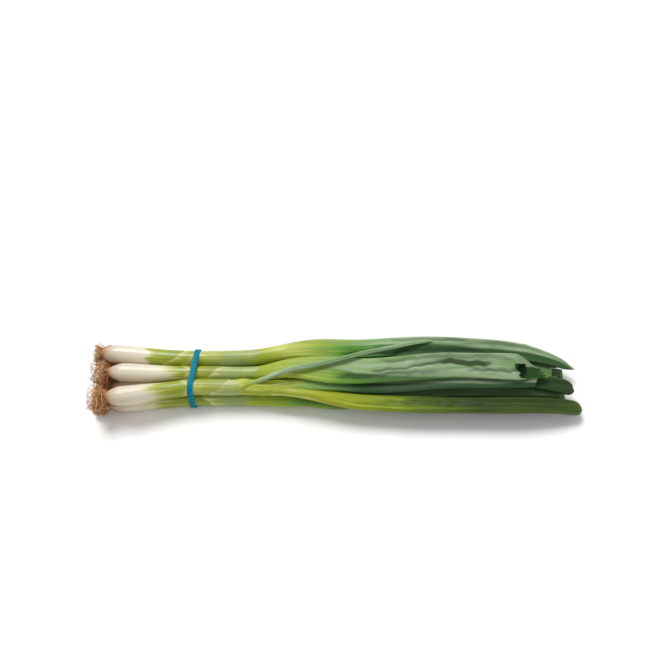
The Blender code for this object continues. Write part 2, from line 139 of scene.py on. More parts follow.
# A lip is (place, slant, side): it runs that much further up on the side at that angle.
# A crease is (start, end, across at its start, across at its end, width, depth), where
# across runs from -1, near, to 1, far.
ONIONS = [
    onion(
        "far_low", 0, 10.6, 13.2, 13, 26, 17, 52, 24, 1.0,
        ((47, 7, 1.2), (88, 6, -0.6), (113, 5, 2.4)),
        leaf(115, 366, 15, 2.8, (200, 30), (290, 32), (360, 24), slant=0.2, bloom=0.3),
        leaf(150, 388, 14, 2.8, (230, 26), (300, 27), (388, 14), slant=-0.1, tone=0.95),
        leaf(150, 378, 13, 2.6, (230, 20), (300, 20), (378, 14)),
    ),
    onion(
        "mid_far_low", 0, 11.2, 13.6, 18, 8.5, 5.7, 60, 20, 1.2,
        ((54, 6, 1.7), (97, 6, 0.3), (123, 5, 3)),
        leaf(125, 392, 16, 2.8, (220, 12), (380, 9), slant=0.1, tone=0.9),
        leaf(125, 374, 15, 2.6, (220, 6), (370, 5)),
    ),
    onion(
        "mid_near_low", 0, 10.4, 12.8, 15, -6.5, -5.7, 55, 26, 1.3,
        ((50, 6, 2.4), (92, 6, 0.9), (118, 5, -2)),
        leaf(120, 386, 16, 2.8, (220, -2), (380, -4), slant=-0.2, tone=0.8),
        leaf(120, 370, 14, 2.6, (230, -8), (370, -10)),
    ),
    onion(
        "near_low", 0, 11.0, 13.8, 17, -22, -17.5, 54, 30, 1.3,
        ((44, 7, 2.0), (96, 6, -2.4), (128, 5, 1.0)),
        leaf(130, 376, 16, 2.8, (210, -19), (370, -20), slant=0.15, tone=0.9, bloom=0.3),
        leaf(160, 390, 14, 2.8, (240, -15), (360, -16), tone=0.8),
        leaf(160, 362, 13, 2.6, (240, -13), (360, -12)),
    ),
    onion(
        "far_top", 1, 13.4, 15.2, 7, 18, 13, 45, 9, 1.0,
        ((63, 11, 0.9), (79, 8, 0.6), (128, 9, 1.4)),
        leaf(
            135, 400, 19, 4.0,
            (190, 20), (240, 26.5), (295, 28.5), (336, 24.5), (373, 18), (400, 7.5),
            pointed=True, tone=0.86, green_by=185, bloom=1.25, ridge=(0.45, -0.15),
            creases=(
                (225, 394, 0.05, 0.05, 2.6, -0.55), (200, 330, -0.6, -0.6, 1.6, 0.35),
                (240, 380, 0.6, 0.5, 1.8, 0.25),
            ),
        ),
        leaf(160, 360, 16, 3.2, (230, 24), (300, 25), (360, 19), slant=-0.15, tone=0.9),
        leaf(160, 378, 15, 3.0, (240, 18), (300, 18), (378, 14), slant=0.2, tone=0.95),
    ),
    onion(
        "near_top", 1, 13.0, 15.8, 19, -24, -13, 57, 24, 1.2,
        ((73, 8, 2.2), (104, 9, 1.0), (117, 8, 2.5)),
        leaf(
            122, 284, 7, 3.0,
            (141, -9), (172, -6), (197, 1), (214, 8), (238, 19), (262, 27), (284, 31),
            pointed=True, tone=0.62, green_by=40, bloom=1.3, slim=0.2,
            creases=((150, 280, -0.2, -0.2, 1.2, 0.25),),
        ),
        leaf(
            145, 362, 18, 3.4, (210, -10), (353, -10),
            slant=0.5, tone=0.98, bloom=1.0, ridge=(0.3, -0.5),
            creases=((200, 350, 0.3, 0.3, 1.8, 0.2),),
        ),
        leaf(
            160, 399, 14, 8.4, (180, -19), (254, -28.5), (330, -29.5), (400, -27),
            tone=0.88, green_by=170, bloom=0.02, yellow=0.9, blunt=True,
            creases=((250, 396, 0.45, 0.4, 2.4, 0.22), (190, 330, -0.25, -0.1, 1.8, 0.16)),
        ),
        leaf(160, 384, 15, 3.0, (240, -12), (380, -12), tone=0.9),
    ),
    onion(
        "middle_top", 1, 12.2, 14.8, 16, 0, 0, 64, 26, 0.8,
        ((70, 9, 1.9), (100, 7, 0.4), (129, 9, 1.2)),
        leaf(
            132, 370, 25, 3.6, (176, -4), (213, -3), (295, 1), (368, -3),
            slant=-0.45, tone=0.8, green_by=170, bloom=1.2, yellow=0.3, ridge=(0.25, -1.0),
            open_cut=20,
            creases=(
                (222, 302, -0.2, 0.3, 1.0, 0.55), (280, 330, 0.3, 0.05, 2.4, 1.2),
                (196, 290, -0.5, -0.4, 2.4, 0.4), (300, 366, -0.5, -0.3, 1.5, 0.45),
                (230, 350, 0.68, 0.6, 1.8, 0.3),
            ),
        ),
        leaf(
            160, 394, 15, 6.5, (260, 0), (330, -5), (394, -12), tone=1.05, bloom=0.02, yellow=0.6,
            blunt=True, creases=((300, 392, 0.2, 0.2, 2.2, 0.3),),
        ),
        leaf(160, 380, 15, 3.0, (250, 8), (380, 6), slant=0.15, tone=0.85),
    ),
]

STATIONS = np.arange(0.0, BUNCH_LENGTH + STATION_STEP / 2, STATION_STEP)


def ease(t):
    """0 before t = 0, 1 after t = 1, and a smooth rise between."""
    t = np.clip(t, 0.0, 1.0)
    return t * t * (3.0 - 2.0 * t)


def eased(s, start, length):
    """0 up to `start`, 1 from `length` past it, both in millimetres, and a rise between."""
    return ease((s - start * MM) / (length * MM))


def hill(t):
    """1 at t = 0, and a smooth fall to nothing on both sides."""
    return np.exp(-(t**2))


def angles(count, first=0.5):
    """Angles all the way round, in radians. The first one is that share of a step on."""
    return 2 * math.pi * (np.arange(count) + first) / count


def unit(arrows):
    """The same arrows, each made 1 long."""
    return arrows / np.linalg.norm(arrows, axis=-1, keepdims=True)


def shank_radius(plant, s):
    """Radius of an onion's bulb and shank at the distance s from the root end."""
    up = np.clip((s - plant.base) / BULB_SWELL, 0.0, 1.0)
    bulb = plant.bulb_radius * (0.5 + 0.5 * np.sin(up * math.pi / 2))
    down = ease((s - plant.base - BULB_SWELL) / BULB_TAPER)
    return bulb + (plant.shank_radius - bulb) * down


def leaf_half_sizes(plant, rank, s):
    """Half the width and half the thickness of a leaf at the distance s from the root end.

    Inside the shank each leaf is a tube round the next one. Past its split it flattens.
    """
    blade = plant.leaves[rank]
    tube = shank_radius(plant, s) * (1.0 - 0.07 * rank)
    flat = ease((s - blade.split) / LEAF_FLATTENING)
    wide = tube + (blade.width / 2 - tube) * flat
    thick = tube + (blade.thickness / 2 - tube) * flat
    taper = TIP_TAPER if blade.pointed else CUT_TAPER
    left = np.clip((blade.end - s) / taper, 0.0, 1.0)
    narrowed = 0.12 if blade.pointed else 0.85
    shrink = narrowed + (1.0 - narrowed) * np.sqrt(1.0 - (1.0 - left) ** 2)
    return wide * shrink, thick * (0.5 + 0.5 * shrink)


class Strands:
    """Every leaf of the bunch with the shank it grows from, as rows of arrays over STATIONS."""

    def __init__(self):
        self.keys = [
            (k, rank) for k, plant in enumerate(ONIONS) for rank in range(len(plant.leaves))
        ]
        self.plant = np.array([k for k, _ in self.keys])
        s = STATIONS
        rows = []
        for k, rank in self.keys:
            plant = ONIONS[k]
            blade = plant.leaves[rank]
            wide, thick = leaf_half_sizes(plant, rank, s)
            # A root tuft needs the room of its bulb all the way to the root end.
            rooted = s < plant.base + BULB_SWELL
            wide = np.where(rooted, plant.bulb_radius, wide)
            thick = np.where(rooted, plant.bulb_radius, thick)
            y = np.interp(
                s,
                [plant.base + BULB_SWELL, BAND_AT] + [p[0] for p in blade.path],
                [plant.bulb_y, plant.band_y] + [p[1] for p in blade.path],
            )
            low = (6.0 + 13.0 * plant.row) * MM
            order = (len(plant.leaves) - 1) / 2 - rank
            above = (order * (3.8 + plant.row) + 0.4 * k) * MM
            z = low + above * ease((s - blade.split) / LEAF_FLATTENING)
            rows.append((wide, thick, y, z, s <= blade.split, s <= blade.end + STATION_STEP))
        wide, thick, y, z, joined, there = (np.array(column) for column in zip(*rows))
        self.half_width = wide
        self.half_thickness = np.minimum(thick, wide)
        self.place = np.stack([y, z], axis=-1)
        self.target_y = y.copy()
        self.roll = np.zeros_like(y)
        self.joined = joined
        self.there = there


def turned(a, b):
    """How far flat arrow b is turned from flat arrow a, times both their lengths."""
    return a[..., 0] * b[..., 1] - a[..., 1] * b[..., 0]


def contact_pushes(centre, along, half, first, second, need, order):
    """Pushes between pairs of flat rounded sections, from the ends of each core line.

    Returns, for `first` and then for `second`, the move, the turn and whether they touch.
    """
    moves = [np.zeros_like(centre[first]), np.zeros_like(centre[second])]
    turns = [np.zeros(need.shape), np.zeros(need.shape)]
    touching = np.zeros(need.shape)
    for owner, other, a, b in ((0, 1, first, second), (1, 0, second, first)):
        for end in (-1.0, 1.0):
            lever = along[a] * (half[a] * end)[..., None]
            tip = centre[a] + lever
            reach = np.sum((tip - centre[b]) * along[b], axis=-1)
            reach = along[b] * np.clip(reach, -half[b], half[b])[..., None]
            away = tip - centre[b] - reach
            distance = np.sqrt(np.sum(away**2, axis=-1)) + 1e-9
            push = np.clip(need - distance, 0.0, 2 * MM) / distance
            step = away * (0.5 * push)[..., None]
            touching += push > 0
            moves[owner] += step
            moves[other] -= step
            turns[owner] += turned(lever, step)
            turns[other] -= turned(reach, step)
    # Core lines that cross are moved apart up and down, in the order they began in.
    across = turned(along[first], along[second])
    parallel = np.abs(across) < 1e-6
    across = np.where(parallel, 1.0, across)
    between = centre[second] - centre[first]
    on_first = np.abs(turned(between, along[second]) / across) < half[first]
    on_second = np.abs(turned(between, along[first]) / across) < half[second]
    crossed = on_first & on_second & ~parallel & (need > 0)
    lift = np.zeros_like(between)
    lift[..., 1] = 0.25 * MM * order
    share = 1.0 / np.maximum(touching, 1)
    moves = [
        np.where(crossed[..., None], lift * sign, move * share[..., None])
        for move, sign in zip(moves, (1, -1))
    ]
    turns = [np.where(crossed, 0.0, turn * share) for turn in turns]
    return moves, turns, touching > 0


def share_joined(strands, values):
    """Leaves that haven't left their shank yet lie in one place: give them their mean."""
    for k in range(len(ONIONS)):
        rows = np.flatnonzero(strands.plant == k)
        joined = strands.joined[rows]
        count = joined.sum(axis=0)
        weight = joined if values.ndim == 2 else joined[..., None]
        total = (values[rows] * weight).sum(axis=0)
        count = count if values.ndim == 2 else count[..., None]
        mean = total / np.maximum(count, 1)
        values[rows] = np.where(weight, mean[None], values[rows])


def stiffen(values, amount):
    """Smooths along the length as a springy rod would, with both ends free."""
    before = values[:, :1] * 2 - values[:, 1:2]
    before2 = values[:, :1] * 3 - values[:, 1:2] * 2
    after = values[:, -1:] * 2 - values[:, -2:-1]
    after2 = values[:, -1:] * 3 - values[:, -2:-1] * 2
    long = np.concatenate([before2, before, values, after, after2], axis=1)
    bend = long[:, :-4] - 4 * long[:, 1:-3] + 6 * long[:, 2:-2] - 4 * long[:, 3:-1] + long[:, 4:]
    values -= amount * bend


def settle():
    """Lets the strands fall, meet and come to rest, and returns them."""
    strands = Strands()
    first, second = np.triu_indices(len(strands.keys), 1)
    same = (strands.plant[first] == strands.plant[second])[:, None]
    radius = strands.half_thickness
    half = strands.half_width - radius
    # Two leaves of one onion take the length of the flattening to come apart.
    splits = np.array([ONIONS[k].leaves[rank].split for k, rank in strands.keys])
    parting = np.minimum(splits[first], splits[second])
    apart = ease((STATIONS[None] - parting[:, None]) / LEAF_FLATTENING)
    need = (radius[first] + radius[second] + GAP) * np.where(same, apart, 1.0)
    need = np.where(strands.there[first] & strands.there[second], need, 0.0)
    order = np.sign(strands.place[first][..., 1] - strands.place[second][..., 1])
    floor = (BAND_THICKNESS + BAND_CLEARANCE) * hill((STATIONS - BAND_AT) / (9 * MM))
    hold = 0.01 + 0.2 * ease((BAND_AT + 25 * MM - STATIONS) / (30 * MM))
    # Each stage has a number of steps, and how far the strands fall in one.
    for steps, fall in ((150, 0.0), (500, 0.05 * MM), (400, 0.015 * MM), (350, 0.002 * MM)):
        for _ in range(steps):
            strands.place[..., 1] -= fall
            strands.place[..., 0] += hold * (strands.target_y - strands.place[..., 0])
            along = np.stack([np.cos(strands.roll), np.sin(strands.roll)], axis=-1)
            moves, turns, touch = contact_pushes(
                strands.place, along, half, first, second, need, order
            )
            move = np.zeros_like(strands.place)
            turn = np.zeros_like(strands.roll)
            meets = np.zeros_like(strands.roll)
            for side, index in enumerate((first, second)):
                np.add.at(move, index, moves[side])
                np.add.at(turn, index, turns[side])
                np.add.at(meets, index, touch)
            share = 1.6 / np.maximum(meets, 1)
            strands.place += move * share[..., None]
            strands.roll += turn * share / (half**2 + (3 * MM) ** 2)
            strands.roll *= 0.97
            stiffen(strands.place, 1 / 24)
            stiffen(strands.roll, 1 / 24)
            share_joined(strands, strands.place)
            share_joined(strands, strands.roll)
            low = half * np.abs(np.sin(strands.roll)) + radius + floor
            strands.place[..., 1] = np.maximum(strands.place[..., 1], low)
    return strands


def smooth_at(values, s):
    """Reads values, given at STATIONS, at the distances s, along a smooth curve."""
    t = np.clip(np.asarray(s) / STATION_STEP, 0.0, len(values) - 1.0001)
    i = t.astype(int)
    f = t - i
    last = len(values) - 1
    a, b = values[np.maximum(i - 1, 0)], values[i]
    c, d = values[np.minimum(i + 1, last)], values[np.minimum(i + 2, last)]
    return b + 0.5 * f * (c - a + f * (2 * a - 5 * b + 4 * c - d + f * (3 * (b - c) + d - a)))


class Bunch:
    """The settled strands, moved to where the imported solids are."""

    def __init__(self):
        self.strands = settle()
        ends, sides = [], []
        for k, plant in enumerate(ONIONS):
            low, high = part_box("shank_" + plant.name)
            ends.append(low.x - plant.base)
            # The solid's rings hold twelve points each, the first one at 15 degrees.
            steps = plant.base + np.array([0, 1.5, 4, 8, 13, 20, 30]) * MM
            end = min(blade.split for blade in plant.leaves) - 0.3 * MM
            more = math.ceil((end - steps[-1]) / (14 * MM))
            steps = np.concatenate([steps, np.linspace(steps[-1], end, more + 1)[1:]])
            y = np.interp(steps, STATIONS, self.strands.place[self.row(k, 0), :, 0])
            reach = shank_radius(plant, steps) * math.cos(math.pi / 12)
            sides.append((low.y + high.y - min(y - reach) - max(y + reach)) / 2)
        if max(np.ptp(ends), np.ptp(sides)) > 0.1 * MM:
            raise RuntimeError("the layout doesn't match the packed solids")
        self.shift = np.array([np.mean(ends), np.mean(sides), 0.0])

    def row(self, number, rank):
        return self.strands.keys.index((number, rank))

    def middle(self, number, rank, s):
        """Where a strand's middle is at the distances s, as y and z, and its roll."""
        row = self.row(number, rank)
        place, roll = self.strands.place[row], self.strands.roll[row]
        return smooth_at(place[:, 0], s), smooth_at(place[:, 1], s), smooth_at(roll, s)

    def in_frame(self, x, y, z):
        return np.stack(np.broadcast_arrays(x, y, np.maximum(z, 0.0)), axis=-1) + self.shift


settled = []


def laid_out():
    """The one settled bunch that every piece is built on."""
    if not settled:
        settled.append(Bunch())
    return settled[0]


def add_object(name, data):
    """Puts a mesh, a light or a camera into the scene."""
    thing = bpy.data.objects.new(name, data)
    bpy.context.scene.collection.objects.link(thing)
    return thing


class Skin:
    """Tubes of points gathered into one mesh, with the values that its material reads."""

    def __init__(self):
        self.points, self.faces, self.values = [], [], {}
        self.count = 0

    def add_tube(self, rings, loop=False, **values):
        """Joins rings of points, shaped (rings, around, 3), and closes both ends."""
        rows, around = rings.shape[:2]
        corner = self.count + np.arange(rows * around).reshape(rows, around)
        joined = np.concatenate([corner, corner[:1]]) if loop else corner
        after = np.roll(joined, -1, axis=1)
        sides = np.stack([joined[:-1], after[:-1], after[1:], joined[1:]], axis=-1)
        self.faces += sides.reshape(-1, 4).tolist()
        if not loop:
            self.faces += [corner[0, ::-1].tolist(), corner[-1].tolist()]
        self.points.append(rings.reshape(-1, 3))
        for name, value in values.items():
            width = (3,) if name == "grain" else ()
            value = np.broadcast_to(value, (rows, around, *width)).reshape(-1, *width)
            self.values.setdefault(name, []).append(value)
        self.count += rows * around

    def make(self, name, material, node, slot):
        """Makes the piece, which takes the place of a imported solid."""
        mesh = bpy.data.meshes.new(name)
        mesh.from_pydata(np.concatenate(self.points).tolist(), [], self.faces)
        for key, parts in self.values.items():
            value = np.concatenate(parts).astype(np.float32).ravel()
            kind, field = ("FLOAT_VECTOR", "vector") if key == "grain" else ("FLOAT", "value")
            mesh.attributes.new(key, kind, "POINT").data.foreach_set(field, value)
        mesh.materials.append(material)
        mesh.shade_smooth()
        mesh.validate()
        piece = add_object(name, mesh)
        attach(piece, "root")
        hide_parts(node)


def grain_of(across, up, s):
    """Fibre coordinates in millimetres: round the stalk without a seam, then along it."""
    step = np.hypot(np.roll(across, -1, axis=1) - across, np.roll(up, -1, axis=1) - up)
    whole = step.sum(axis=1, keepdims=True)
    turn = 2 * math.pi * (np.cumsum(step, axis=1) - step) / whole
    radius = np.mean(whole) / (2 * math.pi) / MM
    along = np.broadcast_to(s / MM, across.shape)
    return np.stack([radius * np.cos(turn), radius * np.sin(turn), along], axis=-1)


def shank_tone(plant, s, fringe=0.0):
    """How green the shank is: 0 is white, 0.35 lime and 1 a dark blue-green.

    `fringe` is how much further along the green begins on some fibres than on others.
    """
    lime = ease((s - fringe - plant.white) / plant.fade + 0.5)
    return 0.01 + 0.35 * lime - 0.04 * eased(s, 85, 20)


def sheath_layers(number, turn):
    """An onion's skins, core first: where each ends, whether it is torn, and its whole lip."""
    plant = ONIONS[number]
    layers = [(min(blade.split for blade in plant.leaves) - 8 * MM, 0.0, 0.0)]
    layers += [(lip * MM, slant * MM, side) for lip, slant, side in plant.lips[::-1]]
    # A torn lip isn't quite even.
    return [
        (lip, slant > 0, lip + slant * np.cos(turn - side)
         + 0.7 * MM * np.sin(5 * turn + 2.1 * depth + number) * (slant > 0))
        for depth, (lip, slant, side) in enumerate(layers)
    ]


def sheath_colours(plant, s, turn, torn, lip, next_lip, chance):
    """How green one skin of a shank is, and how stained and dried.

    `next_lip` is where the next skin out ends, where there is one.
    """
    fringe = np.zeros_like(turn)
    for waves in (1, 3, 4, 7, 10, 15):
        fringe += chance.uniform(0.5, 1.0) / waves**0.5 * np.sin(waves * turn + 6 * chance.random())
    tone = shank_tone(plant, s, 3.2 * MM * fringe)
    left = np.clip((lip - s) / (16 * MM), 0.0, 1.0)
    if torn:
        # A sheath is greenest towards its lip, and its torn edge is bleached.
        tone = tone * (1 + 0.25 * (1 - left)) - 0.09 * (1 - ease(left * 9))
    if next_lip is not None:
        # What the next sheath out has shaded is still pale.
        tone = tone * (1 - 0.5 * np.exp(-np.clip(s - next_lip, 0, None) / (9 * MM)))
    # Painted shade: the side turned away from the key light, the near side, is drawn a fuller,
    # darker green.
    tone = tone + 0.12 * np.clip(-np.cos(turn), 0, 1) * eased(s, 95, 30)
    # Soil and dried skin stain the base. The brown also reaches further along on the side that
    # faces down and inwards.
    low = np.clip(0.35 - np.sin(turn), 0.0, 1.0)
    past = np.clip(s - plant.base, 0, None)
    stain = 1.1 * np.exp(-past / (9 * MM)) + 0.75 * low * np.exp(-past / (26 * MM))
    return tone, plant.stain * stain + 0.15 * (1 - ease(left * 12)) * torn


def shank_skins(bunch, number, sizes):
    """One onion's bulb and shank: a core and the sheaths that still wrap it."""
    plant = ONIONS[number]
    chance = np.random.default_rng(SHANK_SEED + number)
    turn = angles(sizes.around)
    layers = sheath_layers(number, turn)
    lips = [lip for *_, lip in layers] + [None]
    skin = Skin()
    for depth, (end, torn, lip) in enumerate(layers):
        rows = int((end - plant.base) / sizes.ring_step) + 2
        share = np.concatenate([[0.0, 0.15, 0.35, 0.6], np.arange(1, rows)]) / (rows - 1)
        s = plant.base + (lip - plant.base) * share[:, None]
        # Past its lip a skin turns in to the one below.
        s = np.concatenate([s, s[-1:] + 0.15 * MM, s[-1:] + 0.2 * MM])
        y, z, _ = bunch.middle(number, 0, s)
        radius = shank_radius(plant, s) + depth * sizes.sheath
        # Each skin is a little ribbed and out of round.
        bulge = np.zeros_like(s)
        for waves in (2, 3, 5, 7, 11):
            phase = chance.uniform(0, 2 * math.pi) + s / (chance.uniform(25, 70) * MM)
            bulge += chance.uniform(0.3, 1.0) / waves * np.cos(waves * turn + phase)
        radius = radius + 0.07 * MM * bulge * eased(s - plant.base, 0, 6)
        radius[-1] -= (depth + 1) * sizes.sheath + 0.2 * MM
        across, up = radius * np.cos(turn), radius * np.sin(turn)
        tone, dry = sheath_colours(plant, s, turn, torn, lip, lips[depth + 1], chance)
        # Where a bulb rests on the table its skins lie on each other.
        least = (len(layers) - 1 - depth) * sizes.sheath
        skin.add_tube(
            bunch.in_frame(s, y + across, np.maximum(z + up, least)),
            grain=grain_of(across, up, s + depth * 37 * MM),
            tone=tone, dry=dry, bloom=0.02 + 0.62 * eased(s, 88, 30), yellow=0.6,
        )
    return skin


def leaf_rows(plant, blade, ring_step, finer):
    """Where a leaf's rings of points lie, from inside its sheath to its end."""
    start = min(other.split for other in plant.leaves) - 14 * MM
    rows = int((blade.end - start) / ring_step) * finer
    s = np.linspace(start, blade.end, rows + 1)
    if blade.pointed:
        closing = blade.end - np.array([1.8, 1.2, 0.6, 0.2, 0.0]) * MM
        s = np.concatenate([s[s < blade.end - 2.3 * MM], closing])
    return s[:, None]


def leaf_section(plant, rank, s, chance):
    """Half the width and half the thickness of a leaf's skin, ring by ring."""
    blade = plant.leaves[rank]
    out = s - blade.split
    wide, thick = leaf_half_sizes(plant, rank, s)
    sooner = blade.split + np.maximum(out, 0) / blade.slim
    slimmed, _ = leaf_half_sizes(plant, rank, np.minimum(sooner, blade.end - TIP_TAPER))
    slimmed = slimmed * (0.5 + 0.5 * blade.slim)
    wide = wide + (np.minimum(wide, slimmed) - wide) * eased(out, 0, 16)
    thick = np.minimum(thick, wide)
    # It begins a little inside the sheath that it comes out of.
    inside = (0.25 + 0.1 * rank) * MM * (1 - eased(s - s[0], 0, 24))
    wide, thick = wide - inside, thick - inside
    if blade.pointed:
        closed = np.sqrt(np.clip((blade.end - s) / (9 * MM), 0.0, 1.0))
        wide, thick = wide * closed + 0.05 * MM, thick * closed + 0.04 * MM
    if blade.blunt:
        drawn_in = 1 - 0.45 * np.clip((s - blade.end + 7 * MM) / (7 * MM), 0.0, 1.0) ** 2.5
        wide, thick = wide * drawn_in, thick * drawn_in
    sway = np.sin(s / (chance.uniform(11, 17) * MM) + chance.uniform(0, 6))
    return wide * (1 - 0.03 * eased(out, 20, 50) * (1 + sway)), thick


def leaf_dents(blade, s, face, wide, upper, chance):
    """How far each point is pressed in, as a share of its height, and the painted shade of its
    folds.
    """
    # Shallow flutes run along both faces, and pinches cross them where the leaf has buckled.
    dents = np.zeros((len(s), len(face)))
    for _ in range(3):
        lane = chance.uniform(-0.75, 0.75) + 0.12 * np.sin(s / (60 * MM) + chance.uniform(0, 6))
        side = upper if chance.random() < 0.6 else ~upper
        flute = hill((face - lane) * wide / (chance.uniform(1.2, 2.2) * MM))
        dents += side * flute * chance.uniform(0.12, 0.3)
    for at in np.arange(blade.split + 40 * MM, blade.end - 15 * MM, 26 * MM):
        at = at + chance.uniform(-10, 10) * MM
        long = chance.uniform(4, 11) * MM
        lean = chance.uniform(-6, 6) * MM
        side = upper if chance.random() < 0.6 else ~upper
        dents += side * hill((s - at - lean * face) / long) * chance.uniform(0.03, 0.16)
    pressed = np.clip(dents * eased(s - blade.split, 20, 50), 0.0, 0.6)
    crease_shade = np.zeros_like(pressed)
    for begin, finish, lane, last_lane, breadth, depth in blade.creases:
        window = eased(s, begin, 14) * eased(finish * MM - s, 0, 14)
        drift = lane + (last_lane - lane) * ease((s / MM - begin) / (finish - begin))
        for length in (19, 8.3, 4.7, 2.9, 1.7):
            drift = drift + 0.028 * np.sin(s / (length * MM) + length + begin)
        shape = upper * window * hill((face - drift) * wide / (breadth * MM))
        pressed = pressed + shape * depth
        crease_shade = np.maximum(crease_shade, shape * max(depth, 0.0))
    return np.clip(pressed, -0.8, 0.9), np.clip(crease_shade, 0, 1)


def tear_open(blade, s, x, across, wide, turn):
    """Ends the upper wall of a leaf, and one side of it, well before its lower wall."""
    near_end = ease((s - blade.end) / (1.6 * blade.open_cut) + 1)
    jags = 1.1 * MM * (np.sin(5 * turn + 1) + 0.7 * np.sin(11 * turn + 2))
    x = x - (blade.open_cut * ease(0.3 + 0.75 * np.sin(turn - 0.5)) + jags) * near_end
    drawn = ease((s - blade.end) / (1.2 * blade.open_cut) + 1)
    return x, across * (1 - 0.55 * drawn) - 0.22 * wide * drawn


def leaf_colours(plant, blade, s, x, across, up, crease_shade, inner, chance):
    """The values that the material reads: how green a leaf is, how much wax it has, how dried and
    how yellow, with painted light and shade laid into its green and its wax.
    """
    out = s - blade.split
    face = across / (np.max(np.abs(across), axis=1, keepdims=True) + 1e-9)
    # It is lime where it leaves the shank, then darker to its end.
    darker = ease((out + 5 * MM) / blade.green_by)
    tone = shank_tone(plant, s) + (blade.tone - 0.32) * darker**1.4
    tone = tone + 0.05 * face * chance.uniform(-1, 1)
    # Wax lies on the leaf. Its pale grey is painted as light on the upper, farther side, which
    # faces the key light, and left off as painted shade lower down and in the folds.
    wax_and_painted_light = blade.bloom * ease(out / (0.7 * blade.green_by)) * (1 - inner)
    wax_and_painted_light = wax_and_painted_light * np.clip(0.75 + 0.35 * face + 0.4 * np.sign(up), 0.0, 1.0)
    # Painted shade: the near side of the ridge line is drawn darker and its wax left off.
    if blade.ridge is not None:
        first, last = blade.ridge
        gone = ease((out - 30 * MM) / (0.6 * (blade.end - blade.split)))
        lane = first + (last - first) * gone + 0.05 * np.sin(s / (19 * MM))
        painted_shade_side = (1 - ease((face - lane) / 0.22 + 0.5)) * eased(out, 30, 50)
        wax_and_painted_light = wax_and_painted_light * (1 - 0.9 * painted_shade_side)
        tone = tone + 0.12 * painted_shade_side
    # Painted shade in the folds: no wax there, and a darker, more olive green.
    wax_and_painted_light = wax_and_painted_light * (1 - 0.95 * np.clip(1.6 * crease_shade, 0, 1))
    # The hollow is painted dark inside, as painted shade, and pale at its rim.
    within = 1.0 - 0.35 * eased(x - blade.end, -6, 6)
    tone = np.where(inner > 0, within, tone + 0.7 * crease_shade)
    tip = eased(s - blade.end, -6, 6) * blade.pointed
    rim = eased(s - blade.end, -1.6, 1.6) * (not blade.pointed)
    yellow = np.maximum(blade.yellow * eased(out, 0, 30), 0.4 * (1 - eased(out, 0, 90)))
    return {
        "tone": tone - 0.25 * rim - 0.35 * tip, "bloom": wax_and_painted_light,
        "dry": 0.35 * tip + 0.1 * rim, "yellow": yellow + 0.4 * crease_shade,
    }


def add_leaf(skin, bunch, number, rank, sizes):
    """Adds one hollow leaf, from inside its sheath to its tip or its cut end."""
    plant = ONIONS[number]
    blade = plant.leaves[rank]
    chance = np.random.default_rng(LEAF_SEED + 10 * number + rank)
    # A folded leaf needs twice the points, both along and around.
    finer = 2 if blade.creases else 1
    s = leaf_rows(plant, blade, sizes.ring_step, finer)
    turn = angles(sizes.around * finer)
    face, upper = np.cos(turn), np.sin(turn) > 0
    wide, thick = leaf_section(plant, rank, s, chance)
    pressed, crease_shade = leaf_dents(blade, s, face, wide, upper, chance)
    # The flatter a leaf is, the fuller are its edges.
    fullness = 2 + 0.85 * (1 - thick / wide)
    height = thick * (1 - np.abs(face) ** fullness) ** (1 / fullness) * (1 - pressed)
    across, up = wide * face, np.where(upper, height, -height)
    x = s + blade.slant * across * eased(s - blade.end, -25, 25)
    if blade.open_cut:
        x, across = tear_open(blade, s, x, across, wide, turn)
    inner = np.zeros(across.shape)
    if not blade.pointed:
        # A cut end runs back inside, a wall's thickness in, as the hollow of the tube.
        x[-1] += 0.25 * MM * np.sin(3 * turn + rank) * chance.uniform(0.4, 1.0)
        back = -1 - finer * np.array([0, 1, 2, 4, 6])
        narrow = 1 - sizes.wall / wide[back]
        flat = 1 - np.minimum(sizes.wall / thick[back], 0.72)
        pairs = (
            (across, across[back] * narrow), (up, up[back] * flat), (x, x[back] - 0.05 * MM),
            (s, s[back]), (crease_shade, crease_shade[back]), (inner, inner[back] + 1),
        )
        across, up, x, s, crease_shade, inner = (np.concatenate(pair) for pair in pairs)
    y, z, roll = bunch.middle(number, rank, s)
    cos, sin = np.cos(roll), np.sin(roll)
    skin.add_tube(
        bunch.in_frame(x, y + across * cos - up * sin, z + across * sin + up * cos),
        grain=grain_of(across, up, s + (53 * rank + 211 * number) * MM),
        **leaf_colours(plant, blade, s, x, across, up, crease_shade, inner, chance),
    )


def leaf_skins(bunch, number, sizes):
    """All the hollow leaves of one onion."""
    skin = Skin()
    for rank in range(len(ONIONS[number].leaves)):
        add_leaf(skin, bunch, number, rank, sizes)
    return skin


def linear(colour):
    """An sRGB hex colour, such as "#efe9d6", as linear red, green, blue and alpha."""
    values = [int(colour[i : i + 2], 16) / 255 for i in (1, 3, 5)]
    return (*(v / 12.92 if v <= 0.04045 else ((v + 0.055) / 1.055) ** 2.4 for v in values), 1.0)


def set_inputs(node, inputs):
    """Sets inputs, by name or in order, to a number or a colour, or links them from a socket."""
    for key, value in inputs.items() if isinstance(inputs, dict) else enumerate(inputs):
        if isinstance(value, bpy.types.NodeSocket):
            node.id_data.links.new(value, node.inputs[key])
        else:
            node.inputs[key].default_value = linear(value) if isinstance(value, str) else value


